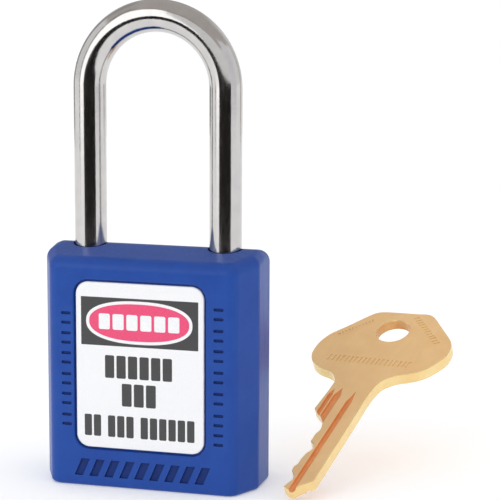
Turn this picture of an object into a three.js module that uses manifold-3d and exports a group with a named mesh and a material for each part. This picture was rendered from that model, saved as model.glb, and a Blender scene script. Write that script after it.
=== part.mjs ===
// Safety lockout padlock with its key, millimetres, +Z up.
// X runs across the width, the front face looks along -Y, the padlock stands on z = 0
// and the point (0, 0, 0) is the middle of its base, under the middle of the shackle.
import * as THREE from "three";
import { ConvexGeometry } from "three/addons/geometries/ConvexGeometry.js";
import { mergeVertices } from "three/addons/utils/BufferGeometryUtils.js";
import Module from "manifold-3d";

const wasm = await Module();
wasm.setup();

// ---- driving dimensions -------------------------------------------------
const BODY_W = 39.6; // side band to side band
const BODY_D = 19.2; // front face to back face
const BODY_H = 42.6; // base to crest
const FACET_IN = 2.9; // how far the slanted side facets draw in at the front and back faces
const BAND = 7.2; // depth of the flat side band
const CREST = 0.65; // half depth of the flat crest
const TOP_SLOPE = 0.172; // fall of the top towards the front and back faces
const TOP_R = 2.0; // rounding of the top edges
const EDGE_R = 2.2; // rounding of the upright edges
const FOOT_R = 0.9; // bevel round the base

const SHACKLE_D = 5.85;
const LEG_SPACING = 25.2;
const SHACKLE_TOP = 86.3;
const BORE_GAP = 0.3; // radial room of each leg in its bore
const TOE_END = 29.5; // lower end of the short (left) leg
const HEEL_END = 20.0; // lower end of the long (right) leg
const TOE_HOLE = 28.6;
const HEEL_HOLE = 3.4;
const SHACKLE_LIFT = 14.5; // travel that brings the toe out of the body

const LABEL_W = 23.6, LABEL_H = 29.9, LABEL_R = 2.3, LABEL_T = 0.5;
const LABEL_X = -0.4, LABEL_Z = 22.2;
const RECESS_DEPTH = 0.8, RECESS_GAP = 0.4;

const AXIS_Y = -1.4; // axis of the plug and the cam
const PLUG_R = 5.0, PLUG_GAP = 0.2, NOSE_R = 4.8;
const HOUSING_R = 6.0, CAVITY_R = 6.3;
const BIBLE_HALF = 2.2; // half width of the pin block
const BIBLE_Y = 7.1; // back face of the pin block
const PLUG_Z0 = 2.0, PLUG_Z1 = 25.0;
const PIN_R = 1.05, CHAMBER_R = 1.25, PIN_PITCH = 3.2, PIN_Z0 = 4.9, PINS = 6;
const PIN_REST = [2.2, 1.4, 2.6, 1.0, 2.0, 1.6]; // lower ends of the bottom pins, from the plug axis

const BALL_R = 2.38, BALL_Z = 35.0;
const BALL_X = 8.35; // ball centre when locked
const BALL_TRAVEL = 3.6; // inward travel of a ball over the quarter turn
const CAM_R = 5.95, CAM_Z0 = 27.7, CAM_Z1 = 38.0;

const KEY_T = 2.15;
const KEY_TIP = [26.955, -10.098, 2.515]; // end of the tip, upper face
const KEY_DIR = [-0.2252, -0.8602, -0.4576]; // along the blade, towards the tip
const KEY_UP = [-0.1094, -0.4444, 0.8891]; // out of the upper face

// ---- helpers ------------------------------------------------------------
const root = new THREE.Group();
root.name = "safety_padlock";
const group = (name, x = 0, y = 0, z = 0) => {
  const g = new THREE.Group();
  g.name = name;
  g.position.set(x, y, z);
  root.add(g);
  return g;
};
const padlock = group("padlock");
const shackleGroup = group("shackle_group");
const cylinder = group("cylinder", 0, AXIS_Y, 0);
const keyGroup = group("key_group", ...KEY_TIP);

// A closed geometry as a solid that can be joined and cut.
function solid(geometry) {
  let g = geometry.clone();
  for (const name of Object.keys(g.attributes)) if (name !== "position") g.deleteAttribute(name);
  g = mergeVertices(g, 1e-4);
  const tris = [];
  for (let i = 0; i < g.index.count; i += 3) {
    const [p, q, r] = [g.index.getX(i), g.index.getX(i + 1), g.index.getX(i + 2)];
    if (p !== q && q !== r && r !== p) tris.push(p, q, r);
  }
  const made = new wasm.Manifold(
    new wasm.Mesh({ numProp: 3, vertProperties: new Float32Array(g.attributes.position.array), triVerts: new Uint32Array(tris) }),
  );
  if (made.volume() > 0) return made;
  for (let i = 0; i < tris.length; i += 3) [tris[i + 1], tris[i + 2]] = [tris[i + 2], tris[i + 1]];
  return new wasm.Manifold(
    new wasm.Mesh({ numProp: 3, vertProperties: new Float32Array(g.attributes.position.array), triVerts: new Uint32Array(tris) }),
  );
}
function geometryOf(made) {
  const m = made.getMesh(), n = m.numProp, pos = new Float32Array(m.triVerts.length * 3);
  m.triVerts.forEach((v, i) => pos.set(m.vertProperties.subarray(v * n, v * n + 3), i * 3));
  const g = new THREE.BufferGeometry().setAttribute("position", new THREE.BufferAttribute(pos, 3));
  g.computeVertexNormals();
  return g;
}
function add(parent, name, shape, color, metalness = 0, roughness = 0.5) {
  const geometry = shape.isBufferGeometry ? shape : geometryOf(shape);
  const mesh = new THREE.Mesh(geometry, new THREE.MeshStandardMaterial({ color, metalness, roughness }));
  mesh.name = name;
  parent.add(mesh);
  return mesh;
}
const cylGeo = (r, z0, z1, x = 0, y = 0, seg = 32) =>
  new THREE.CylinderGeometry(r, r, z1 - z0, seg).rotateX(Math.PI / 2).translate(x, y, (z0 + z1) / 2);
const boxGeo = (x0, x1, y0, y1, z0, z1) =>
  new THREE.BoxGeometry(x1 - x0, y1 - y0, z1 - z0).translate((x0 + x1) / 2, (y0 + y1) / 2, (z0 + z1) / 2);
const yCylGeo = (r, y0, y1, seg = 14) => new THREE.CylinderGeometry(r, r, y1 - y0, seg).translate(0, (y0 + y1) / 2, 0);
const cyl = (...v) => solid(cylGeo(...v));
const box = (...v) => solid(boxGeo(...v));
const yCyl = (r, y0, y1, z, seg = 14) => solid(yCylGeo(r, y0, y1, seg).translate(0, 0, z));
const shapeOf = (points) => new THREE.Shape(points.map(([x, y]) => new THREE.Vector2(x, y)));
const prism = (shape, z0, z1) => new THREE.ExtrudeGeometry(shape, { depth: z1 - z0, bevelEnabled: false, curveSegments: 14 }).translate(0, 0, z0);
// Plate in the XZ plane between two depths.
const plate = (shape, y0, y1) => new THREE.ExtrudeGeometry(shape, { depth: y1 - y0, bevelEnabled: false, curveSegments: 5 }).rotateX(Math.PI / 2).translate(0, y1, 0);

// A path whose steps fall where they are needed: on its own list of points.
class StepPath extends THREE.Curve {
  constructor(points, tangents) {
    super();
    this.points = points;
    this.tangents = tangents;
  }
  getPointAt(u, target = new THREE.Vector3()) {
    return target.copy(this.points[Math.round(u * (this.points.length - 1))]);
  }
  getPoint(t, target) {
    return this.getPointAt(t, target);
  }
  getTangentAt(u, target = new THREE.Vector3()) {
    return target.copy(this.tangents[Math.round(u * (this.points.length - 1))]);
  }
}
function ringShape(r, sides) {
  const out = [];
  for (let k = 0; k < sides; k++) {
    const a = (2 * Math.PI * (k + 0.5)) / sides;
    out.push(new THREE.Vector2(r * Math.cos(a), r * Math.sin(a)));
  }
  return new THREE.Shape(out);
}
const sweep = (path, r, sides) =>
  new THREE.ExtrudeGeometry(ringShape(r, sides), { steps: path.points.length - 1, bevelEnabled: false, extrudePath: path });
// Coil spring along +Z from z0 to z1.
function coil(z0, z1, coilR, wireR, turns, perTurn, sides) {
  const points = [], tangents = [], n = turns * perTurn, rise = z1 - z0 - 2 * wireR;
  for (let i = 0; i <= n; i++) {
    const a = (2 * Math.PI * i) / perTurn;
    points.push(new THREE.Vector3(coilR * Math.cos(a), coilR * Math.sin(a), z0 + wireR + (rise * i) / n));
    tangents.push(new THREE.Vector3(-coilR * Math.sin(a), coilR * Math.cos(a), rise / (2 * Math.PI * turns)).normalize());
  }
  return sweep(new StepPath(points, tangents), wireR, sides);
}
function roundedRect(w, h, r, cx, cz) {
  const s = new THREE.Shape(), x0 = cx - w / 2, x1 = cx + w / 2, z0 = cz - h / 2, z1 = cz + h / 2;
  s.moveTo(x0 + r, z0).lineTo(x1 - r, z0).absarc(x1 - r, z0 + r, r, -Math.PI / 2, 0);
  s.lineTo(x1, z1 - r).absarc(x1 - r, z1 - r, r, 0, Math.PI / 2);
  s.lineTo(x0 + r, z1).absarc(x0 + r, z1 - r, r, Math.PI / 2, Math.PI);
  s.lineTo(x0, z0 + r).absarc(x0 + r, z0 + r, r, Math.PI, 1.5 * Math.PI);
  return s;
}

// ---- body shell ---------------------------------------------------------
const half = BODY_W / 2, deep = BODY_D / 2, band = BAND / 2;
const topAt = (y) => BODY_H - TOP_SLOPE * Math.max(0, Math.abs(y) - CREST);
// Plan outline drawn in by `inset`, upright edges rounded.
function plan(inset) {
  const fl = Math.hypot(FACET_IN, deep - band), nx = (deep - band) / fl, ny = FACET_IN / fl;
  const w = half - inset, d = deep - inset;
  // The facet's line is nx*x + ny*y = k, moved in by `inset` like the rest.
  const k = nx * half + ny * band - inset;
  const side = [w, (k - nx * w) / ny], front = [(k - ny * d) / nx, d];
  const r = Math.max(0.35, EDGE_R - 0.4 * inset);
  const arc = (corner, n0, n1) => {
    // corner between edges with outward unit normals n0 then n1
    const c = n0[0] * n1[0] + n0[1] * n1[1], s = 1 / (1 + c);
    const centre = [corner[0] - r * s * (n0[0] + n1[0]), corner[1] - r * s * (n0[1] + n1[1])];
    return [0, 1 / 3, 2 / 3, 1].map((f) => {
      const n = [n0[0] * (1 - f) + n1[0] * f, n0[1] * (1 - f) + n1[1] * f], l = Math.hypot(...n);
      return [centre[0] + (r * n[0]) / l, centre[1] + (r * n[1]) / l];
    });
  };
  const q = [[w, 0], [w, CREST], ...arc(side, [1, 0], [nx, ny]), ...arc(front, [nx, ny], [0, 1])];
  return q.flatMap(([x, y]) => [[x, y], [-x, y], [x, -y], [-x, -y]]);
}
const outer = [];
plan(FOOT_R).forEach(([x, y]) => outer.push([x, y, 0]));
plan(FOOT_R * 0.3).forEach(([x, y]) => outer.push([x, y, FOOT_R * 0.3]));
plan(0).forEach(([x, y]) => outer.push([x, y, FOOT_R]));
[0, 30, 60, 90].forEach((deg) => {
  const a = (deg * Math.PI) / 180, inset = TOP_R * (1 - Math.cos(a));
  plan(inset).forEach(([x, y]) => outer.push([x, y, topAt(y) - TOP_R * (1 - Math.sin(a))]));
});
[-1, 1].forEach((s) => [-1, 1].forEach((t) => outer.push([s * (half - TOP_R), t * CREST, BODY_H])));
const shell = new ConvexGeometry(outer.map((p) => new THREE.Vector3(...p)));

const legR = SHACKLE_D / 2, legX = LEG_SPACING / 2;
const bibleSlot = (grow, z0, z1) => box(-BIBLE_HALF - grow, BIBLE_HALF + grow, AXIS_Y, BIBLE_Y + 0.5 + grow, z0, z1);
const recess = (side) => roundedRect(LABEL_W + 2 * RECESS_GAP, LABEL_H + 2 * RECESS_GAP, LABEL_R + RECESS_GAP, side * LABEL_X, LABEL_Z);
const ballChannel = solid(new THREE.CylinderGeometry(BALL_R + 0.3, BALL_R + 0.3, 2 * legX, 20).rotateZ(Math.PI / 2).translate(0, 0, BALL_Z));
const body = solid(shell)
  .subtract(cyl(legR + BORE_GAP, TOE_HOLE, BODY_H + 2, -legX, 0, 28))
  .subtract(cyl(legR + BORE_GAP, HEEL_HOLE, BODY_H + 2, legX, 0, 28))
  .subtract(cyl(CAVITY_R, -1, 39.4, 0, AXIS_Y, 36))
  .subtract(bibleSlot(0.3, -1, PLUG_Z1 + 0.8))
  .subtract(ballChannel)
  .subtract(cyl(2.1, 39.3, 41.0, 0, AXIS_Y, 20))
  .subtract(solid(plate(recess(1), -deep - 1, -deep + RECESS_DEPTH)))
  .subtract(solid(plate(recess(-1), deep - RECESS_DEPTH, deep + 1)));
add(padlock, "body_shell", body, 0x2d4e9e, 0, 0.45);

// ---- labels -------------------------------------------------------------
const labelBack = -deep + RECESS_DEPTH - 0.12;
const label = (side) => roundedRect(LABEL_W, LABEL_H, LABEL_R, side * LABEL_X, LABEL_Z);
add(padlock, "front_label", plate(label(1), labelBack - LABEL_T, labelBack), 0xfafafc, 0, 0.4);
add(padlock, "back_label", plate(label(-1), -labelBack, -labelBack + LABEL_T), 0xfafafc, 0, 0.4);

// ---- base cap -----------------------------------------------------------
const cap = cyl(HOUSING_R, 0.5, 1.6, 0, AXIS_Y, 36).add(bibleSlot(0, 0.5, 1.6)).subtract(cyl(NOSE_R + 0.2, 0, 3, 0, AXIS_Y, 32));
add(padlock, "base_cap", cap, 0x222428, 0.2, 0.5);

// ---- shackle ------------------------------------------------------------
const bendZ = SHACKLE_TOP - legR - legX;
const path = [new THREE.Vector3(-legX, 0, TOE_END)], along = [new THREE.Vector3(0, 0, 1)];
for (let i = 0; i <= 26; i++) {
  const a = Math.PI - (Math.PI * i) / 26;
  path.push(new THREE.Vector3(legX * Math.cos(a), 0, bendZ + legX * Math.sin(a)));
  along.push(new THREE.Vector3(Math.sin(a), 0, -Math.cos(a)).normalize());
}
path.push(new THREE.Vector3(legX, 0, HEEL_END));
along.push(new THREE.Vector3(0, 0, -1));
let shackle = solid(sweep(new StepPath(path, along), legR, 20));
// Each ball leaves its notch down a ramp as the shackle rises.
const leave = (BALL_X + BALL_R - (legX - legR) + 0.35) / BALL_TRAVEL;
const rampX = BALL_TRAVEL * leave, rampZ = SHACKLE_LIFT * leave, ramp = Math.hypot(rampX, rampZ);
[-1, 1].forEach((s) => {
  const sweptBall = new THREE.CapsuleGeometry(BALL_R + 0.25, ramp, 4, 16)
    .rotateX(Math.PI / 2)
    .rotateY(s * Math.atan2(rampX, rampZ))
    .translate(s * (BALL_X - rampX / 2), 0, BALL_Z - rampZ / 2);
  shackle = shackle.subtract(solid(sweptBall));
});
add(shackleGroup, "shackle", shackle, 0xd8dade, 1, 0.15);

// ---- shackle spring and follower ----------------------------------------
add(shackleGroup, "spring_follower", cylGeo(2.9, HEEL_END - 2.4, HEEL_END - 0.3, 0, 0, 20), 0xb8bcc2, 1, 0.35).position.x = legX;
add(padlock, "shackle_spring", coil(HEEL_HOLE + 0.3, HEEL_END - 2.6, 2.25, 0.36, 7, 9, 5), 0x8e9298, 1, 0.4).position.x = legX;

// ---- locking balls and cam ----------------------------------------------
const ballShape = new THREE.SphereGeometry(BALL_R, 16, 10);
add(padlock, "ball_left", ballShape, 0xc9ccd2, 1, 0.12).position.set(-BALL_X, 0, BALL_Z);
add(padlock, "ball_right", ballShape, 0xc9ccd2, 1, 0.12).position.set(BALL_X, 0, BALL_Z);

// The lobe is what the inward-moving balls leave of a disc over a quarter turn.
const lobe = [];
for (let k = 0; k < 60; k++) {
  const a = (2 * Math.PI * k) / 60, dx = Math.cos(a), dy = Math.sin(a);
  let r = CAM_R;
  for (let i = 0; i <= 36; i++) {
    const turn = (-i * 2.5 * Math.PI) / 180, x = BALL_X - (BALL_TRAVEL * i) / 36;
    [-1, 1].forEach((s) => {
      const cx = s * x * Math.cos(turn) + AXIS_Y * Math.sin(turn), cy = s * x * Math.sin(turn) - AXIS_Y * Math.cos(turn);
      const reach = cx * dx + cy * dy, inside = reach * reach - cx * cx - cy * cy + (BALL_R + 0.3) ** 2;
      if (reach > 0 && inside > 0) r = Math.min(r, reach - Math.sqrt(inside));
    });
  }
  lobe.push([r * dx, r * dy]);
}
const cam = cyl(CAM_R, CAM_Z0, BALL_Z - BALL_R - 0.4, 0, 0, 32)
  .add(solid(prism(shapeOf(lobe), CAM_Z0 + 4, CAM_Z1)))
  .add(cyl(1.8, CAM_Z1 - 1, 40.4, 0, 0, 20))
  .subtract(box(-2.6, 2.6, -1.05, 1.05, CAM_Z0 - 1, CAM_Z0 + 2.2));
add(cylinder, "cam", cam, 0xb9a36a, 1, 0.35);

// ---- cylinder, drawn from the plug's axis --------------------------------
const bibleY = BIBLE_Y - AXIS_Y;
const pinZ = Array.from({ length: PINS }, (_, i) => PIN_Z0 + i * PIN_PITCH);
let housing = cyl(HOUSING_R, PLUG_Z0, PLUG_Z1, 0, 0, 36)
  .add(box(-BIBLE_HALF, BIBLE_HALF, 0, bibleY, PLUG_Z0, PLUG_Z1))
  .subtract(cyl(PLUG_R + PLUG_GAP, 0, 30, 0, 0, 36));
pinZ.forEach((z) => (housing = housing.subtract(yCyl(CHAMBER_R, 0, bibleY + 1, z))));
add(cylinder, "cylinder_housing", housing, 0xb99f62, 1, 0.38);

let plug = cyl(PLUG_R, PLUG_Z0, PLUG_Z1, 0, 0, 36)
  .add(cyl(NOSE_R, 0.7, PLUG_Z0 + 0.5, 0, 0, 32))
  .add(cyl(3.2, PLUG_Z1 - 1, 26.6, 0, 0, 24))
  .add(cyl(3.9, 26.5, 27.2, 0, 0, 24))
  .add(box(-2.3, 2.3, -0.8, 0.8, 27, 29.4));
const keyway = [[-1.15, -4.3], [1.15, -4.3], [1.15, -0.75], [0.6, -0.6], [0.6, 0.2], [1.15, 0.35], [1.15, 2.4], [0.6, 2.55], [0.6, 3.25], [1.15, 3.4], [1.15, 4.3], [-1.15, 4.3]];
plug = plug.subtract(solid(prism(shapeOf(keyway), 0, 23.4)));
pinZ.forEach((z) => (plug = plug.subtract(yCyl(CHAMBER_R, 0.4, PLUG_R + 1, z))));
add(cylinder, "plug", plug, 0xc8ab66, 1, 0.3);

const driverEnd = 5.55 - AXIS_Y;
pinZ.forEach((z, i) => {
  add(cylinder, "bottom_pin_" + (i + 1), yCylGeo(PIN_R, PIN_REST[i], 4.72, 12), 0xd2b26a, 1, 0.25).position.z = z;
  add(cylinder, "driver_pin_" + (i + 1), yCylGeo(PIN_R, 5.35, driverEnd, 12), 0xc4c6c8, 1, 0.25).position.z = z;
  add(cylinder, "pin_spring_" + (i + 1), coil(driverEnd + 0.15, bibleY - 0.1, 0.7, 0.15, 2, 8, 4).rotateX(-Math.PI / 2), 0x9aa0a6, 1, 0.4).position.z = z;
});
add(cylinder, "chamber_cover", boxGeo(-BIBLE_HALF, BIBLE_HALF, bibleY + 0.12, bibleY + 0.5, PLUG_Z0 + 0.3, PLUG_Z1 - 0.3), 0xb99f62, 1, 0.4);
const clip = cyl(4.9, 25.3, 26.2, 0, 0, 28).subtract(cyl(3.45, 25, 27, 0, 0, 24)).subtract(box(-1.6, 1.6, -8, 0, 25, 27));
add(cylinder, "plug_clip", clip, 0x6d7278, 1, 0.4);

// ---- key ----------------------------------------------------------------
// Outline in the key's own plane: u runs to the tip, v across the blade.
const KEY_OUTLINE = [
  [-0.7, -1.4], [-0.05, -0.35], [0, 0.55], [-0.7, 1.0], [-1.5, 1.6], [-2.4, 2.7], [-3.0, 3.4], [-21.8, 3.3], [-26.1, 3.2], [-28.1, 3.35], [-29.8, 3.6],
  [-31.4, 4.3], [-32.9, 6.0], [-33.7, 7.7], [-34.6, 9.4], [-35.8, 10.8], [-37.2, 11.8], [-38.8, 12.7], [-40.4, 13.2], [-42.2, 13.2], [-43.9, 12.8],
  [-45.3, 11.9], [-48.9, 8.5], [-50.6, 6.9], [-51.5, 5.7], [-51.7, 4.6], [-51.5, 2.9], [-51.0, -3.5], [-50.5, -5.3], [-49.4, -6.5], [-45.4, -9.6],
  [-43.5, -11.2], [-42.0, -12.2], [-39.7, -12.95], [-37.3, -13.05], [-35.7, -12.7], [-34.2, -11.8], [-33.4, -10.9], [-32.7, -9.7], [-32.3, -8.5],
  [-32.0, -7.4], [-31.5, -6.4], [-30.7, -5.5], [-29.9, -4.95], [-29.3, -4.8],
  [-26.5, -4.85], [-21.3, -5.2], [-20.6, -4.4], [-19.6, -3.1], [-18.3, -2.1], [-16.9, -1.6], [-15.9, -1.5], [-14.2, -2.1], [-12.9, -2.0],
  [-12.3, -1.2], [-11.9, -0.7], [-11.2, -0.55], [-10.4, -0.8], [-9.5, -1.3], [-7.9, -1.5], [-6.6, -1.5], [-5.8, -1.95], [-4.7, -1.7], [-3.8, -0.85], [-2.6, -0.6], [-1.7, -1.0],
];
const keyShape = shapeOf(KEY_OUTLINE);
keyShape.holes.push(new THREE.Path().absarc(-45.6, 0, 3.23, 0, 2 * Math.PI, true));
const key = solid(prism(keyShape, -KEY_T, 0))
  .subtract(box(-25.8, 2, -0.1, 1.0, -0.55, 1))
  .subtract(box(-26.6, -15.5, -3.2, -1.85, -0.55, 1))
  .subtract(box(-26.9, 2, 1.9, 2.7, -KEY_T - 1, -KEY_T + 0.5));
const dir = new THREE.Vector3(...KEY_DIR).normalize();
const across = new THREE.Vector3(...KEY_UP).cross(dir).normalize();
const up = dir.clone().cross(across).normalize();
keyGroup.quaternion.setFromRotationMatrix(new THREE.Matrix4().makeBasis(dir, across, up));
add(keyGroup, "key", key, 0xd6b280, 1, 0.35);

export default root;
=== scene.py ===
import math

import bpy
import bmesh
from mathutils import Matrix, Quaternion, Vector


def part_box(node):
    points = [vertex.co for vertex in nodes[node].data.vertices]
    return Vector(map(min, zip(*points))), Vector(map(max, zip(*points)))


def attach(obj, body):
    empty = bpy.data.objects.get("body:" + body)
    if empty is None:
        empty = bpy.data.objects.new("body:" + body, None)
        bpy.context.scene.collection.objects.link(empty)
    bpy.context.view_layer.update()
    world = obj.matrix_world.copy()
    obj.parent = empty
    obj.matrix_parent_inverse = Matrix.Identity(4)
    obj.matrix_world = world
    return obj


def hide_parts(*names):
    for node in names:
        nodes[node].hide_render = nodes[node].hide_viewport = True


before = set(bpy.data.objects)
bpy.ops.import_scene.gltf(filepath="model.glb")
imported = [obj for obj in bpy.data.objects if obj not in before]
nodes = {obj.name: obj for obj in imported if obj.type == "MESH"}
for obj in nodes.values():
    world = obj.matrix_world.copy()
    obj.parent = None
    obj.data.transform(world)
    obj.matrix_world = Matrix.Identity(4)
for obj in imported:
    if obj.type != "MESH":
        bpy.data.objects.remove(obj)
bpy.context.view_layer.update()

MM = 0.001


def mm_box(node):
    lo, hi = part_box(node)
    return lo / MM, hi / MM


# ---------------------------------------------------------------- dimensions, millimetres
b_lo, b_hi = mm_box("body_shell")
BODY_W, BODY_D, BODY_H = b_hi.x - b_lo.x, b_hi.y - b_lo.y, b_hi.z
FACET_IN, BAND, CREST, TOP_SLOPE = 2.9, 7.2, 0.65, 0.172
TOP_R, EDGE_R, FOOT_R = 2.0, 2.2, 0.9
half, deep, band = BODY_W / 2, BODY_D / 2, BAND / 2

s_lo, s_hi = mm_box("shackle")
LEG_X = 12.6
LEG_R = s_hi.x - LEG_X
SHACKLE_TOP = s_hi.z
TOE_END, HEEL_END, TOE_HOLE, HEEL_HOLE, BORE_GAP = 29.5, 20.0, 28.6, 3.4, 0.3

l_lo, l_hi = mm_box("front_label")
LABEL_X, LABEL_Z = (l_lo.x + l_hi.x) / 2, (l_lo.z + l_hi.z) / 2
LABEL_W, LABEL_H, LABEL_R = l_hi.x - l_lo.x, l_hi.z - l_lo.z, 2.3
LABEL_FRONT, LABEL_REAR = l_lo.y, l_hi.y
RECESS_DEPTH, RECESS_GAP = 0.8, 0.4

AXIS_Y = -1.4
PLUG_R, NOSE_R, HOUSING_R, CAVITY_R, BIBLE_HALF, BIBLE_Y = 5.0, 4.8, 6.0, 6.3, 2.2, 7.1
PLUG_Z0, PLUG_Z1, CHAMBER_R, PIN_R = 2.0, 25.0, 1.25, 1.05
PIN_Z = [4.9 + 3.2 * i for i in range(6)]
BALL_R, BALL_X, BALL_Z, BALL_TRAVEL, SHACKLE_LIFT = 2.38, 8.35, 35.0, 3.6, 14.5

KEY_TIP = Vector((26.955, -10.098, 2.515))
KEY_DIR = Vector((-0.2252, -0.8602, -0.4576)).normalized()
KEY_UP0 = Vector((-0.1094, -0.4444, 0.8891))
KEY_ACROSS = KEY_UP0.cross(KEY_DIR).normalized()
KEY_UP = KEY_DIR.cross(KEY_ACROSS).normalized()
KEY_T = 2.15


# ---------------------------------------------------------------- material kit
class Nodes:
    """A material and short ways to add and join its nodes."""

    def __init__(self, name):
        self.m = bpy.data.materials.new(name)
        self.m.use_nodes = True
        self.t = self.m.node_tree
        self.bsdf = self.t.nodes["Principled BSDF"]
        self.coord = self.t.nodes.new("ShaderNodeTexCoord")

    def node(self, kind, **values):
        n = self.t.nodes.new("ShaderNode" + kind)
        for k, v in values.items():
            if k in n.inputs.keys():
                n.inputs[k].default_value = v
            else:
                setattr(n, k, v)
        return n

    def link(self, a, b):
        self.t.links.new(a, b)

    def mm(self, stretch=(1, 1, 1), turn=(0, 0, 0)):
        """Object coordinates in millimetres, stretched along an axis if asked."""
        n = self.node("Mapping")
        n.inputs["Scale"].default_value = [1000 * s for s in stretch]
        n.inputs["Rotation"].default_value = turn
        self.link(self.coord.outputs["Object"], n.inputs["Vector"])
        return n.outputs["Vector"]

    def noise(self, scale, detail=3.0, rough=0.55, vector=None, distortion=0.0):
        n = self.node("TexNoise")
        n.inputs["Scale"].default_value = scale
        n.inputs["Detail"].default_value = detail
        n.inputs["Roughness"].default_value = rough
        n.inputs["Distortion"].default_value = distortion
        self.link(vector if vector is not None else self.mm(), n.inputs["Vector"])
        return n.outputs["Fac"]

    def ramp(self, fac, stops):
        n = self.node("ValToRGB")
        e = n.color_ramp.elements
        e[0].position, e[0].color = stops[0][0], (*stops[0][1], 1)
        e[1].position, e[1].color = stops[-1][0], (*stops[-1][1], 1)
        for p, c in stops[1:-1]:
            k = e.new(p)
            k.color = (*c, 1)
        self.link(fac, n.inputs["Fac"])
        return n.outputs["Color"]

    def span(self, fac, a, b, c, d):
        n = self.node("MapRange")
        for k, v in zip(("From Min", "From Max", "To Min", "To Max"), (a, b, c, d)):
            n.inputs[k].default_value = v
        self.link(fac, n.inputs["Value"])
        return n.outputs["Result"]

    def mix(self, fac, a, b):
        n = self.t.nodes.new("ShaderNodeMix")
        n.data_type = "RGBA"
        for sock, v in ((n.inputs["Factor"], fac), (n.inputs[6], a), (n.inputs[7], b)):
            if isinstance(v, bpy.types.NodeSocket):
                self.link(v, sock)
            elif isinstance(v, (int, float)):
                sock.default_value = v
            else:
                sock.default_value = (*v, 1)
        return n.outputs[2]

    def bump(self, heights):
        """Chained bumps: (height socket, strength, depth in millimetres)."""
        last = None
        for h, strength, depth in heights:
            n = self.node("Bump")
            n.inputs["Strength"].default_value = strength
            n.inputs["Distance"].default_value = depth * MM
            self.link(h, n.inputs["Height"])
            if last is not None:
                self.link(last, n.inputs["Normal"])
            last = n.outputs["Normal"]
        self.link(last, self.bsdf.inputs["Normal"])

    def set(self, **values):
        for k, v in values.items():
            sock = self.bsdf.inputs[k.replace("_", " ")]
            if isinstance(v, bpy.types.NodeSocket):
                self.link(v, sock)
            elif isinstance(v, tuple):
                sock.default_value = (*v, 1)
            else:
                sock.default_value = v


def lin(r, g, b):
    f = lambda c: c / 12.92 if c <= 0.04045 else ((c + 0.055) / 1.055) ** 2.4
    return tuple(f(v / 255) for v in (r, g, b))


def plastic(name, a, b, rough=(0.30, 0.40), grain=0.35, coat=0.25, level=0.42):
    """Moulded nylon: slightly uneven pigment, fine mould texture, slow flow ripples, faint rubs."""
    k = Nodes(name)
    cloudy = k.noise(0.16, 4, 0.6)
    speck = k.noise(5.5, 2, 0.5)
    rubs = k.noise(1.4, 5, 0.7, k.mm((1, 1, 0.12)))
    base = k.mix(k.span(cloudy, 0.35, 0.65, 0, 1), a, b)
    base = k.mix(k.span(speck, 0.62, 0.8, 0, 0.12), base, tuple(min(1, c * 1.6 + 0.02) for c in a))
    k.set(Base_Color=base, Roughness=k.span(rubs, 0.3, 0.7, rough[0], rough[1]), Coat_Weight=coat, Coat_Roughness=0.16)
    k.bsdf.inputs["Specular IOR Level"].default_value = level
    k.bump([(k.noise(9, 2, 0.5), grain, 0.004), (k.noise(0.55, 2, 0.5), 0.5, 0.012)])
    return k.m


def metal(name, a, b, rough=(0.1, 0.2), streak=(1, 1, 0.05), scale=6.0, depth=0.002, wave=0.0, strength=0.4, speck=0.0):
    """Worked metal: streaks along the way it was drawn or brushed, small pits, uneven tarnish."""
    k = Nodes(name)
    lines = k.noise(scale, 4, 0.6, k.mm(streak))
    tarnish = k.noise(0.35, 4, 0.6)
    pits = k.noise(7, 2, 0.5)
    base = k.mix(k.span(tarnish, 0.35, 0.7, 0, 1), a, b)
    base = k.mix(k.span(pits, 0.68, 0.78, 0, 0.35), base, tuple(c * 0.55 for c in a))
    k.set(Base_Color=base, Metallic=1.0, Roughness=k.span(lines, 0.3, 0.7, rough[0], rough[1]))
    heights = [(lines, strength, depth)]
    if wave:
        heights.append((k.noise(0.8, 3, 0.55), 0.6, wave))
    if speck:
        heights.append((k.noise(4.5, 2, 0.5), 0.8, speck))
    k.bump(heights)
    return k.m


def ink(name, a, rough=0.42):
    """Printed film: ink with fine halftone mottle under a thin clear coat."""
    k = Nodes(name)
    dots = k.noise(14, 2, 0.5)
    patch = k.noise(0.7, 3, 0.6)
    light = tuple(min(1, c * 1.12 + 0.006) for c in a)
    dark = tuple(c * 0.88 for c in a)
    base = k.mix(k.span(dots, 0.35, 0.65, 0, 1), dark, light)
    k.set(Base_Color=base, Roughness=k.span(patch, 0.3, 0.7, rough - 0.05, rough + 0.06), Coat_Weight=0.2, Coat_Roughness=0.25)
    k.bump([(dots, 0.25, 0.003)])
    return k.m


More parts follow.
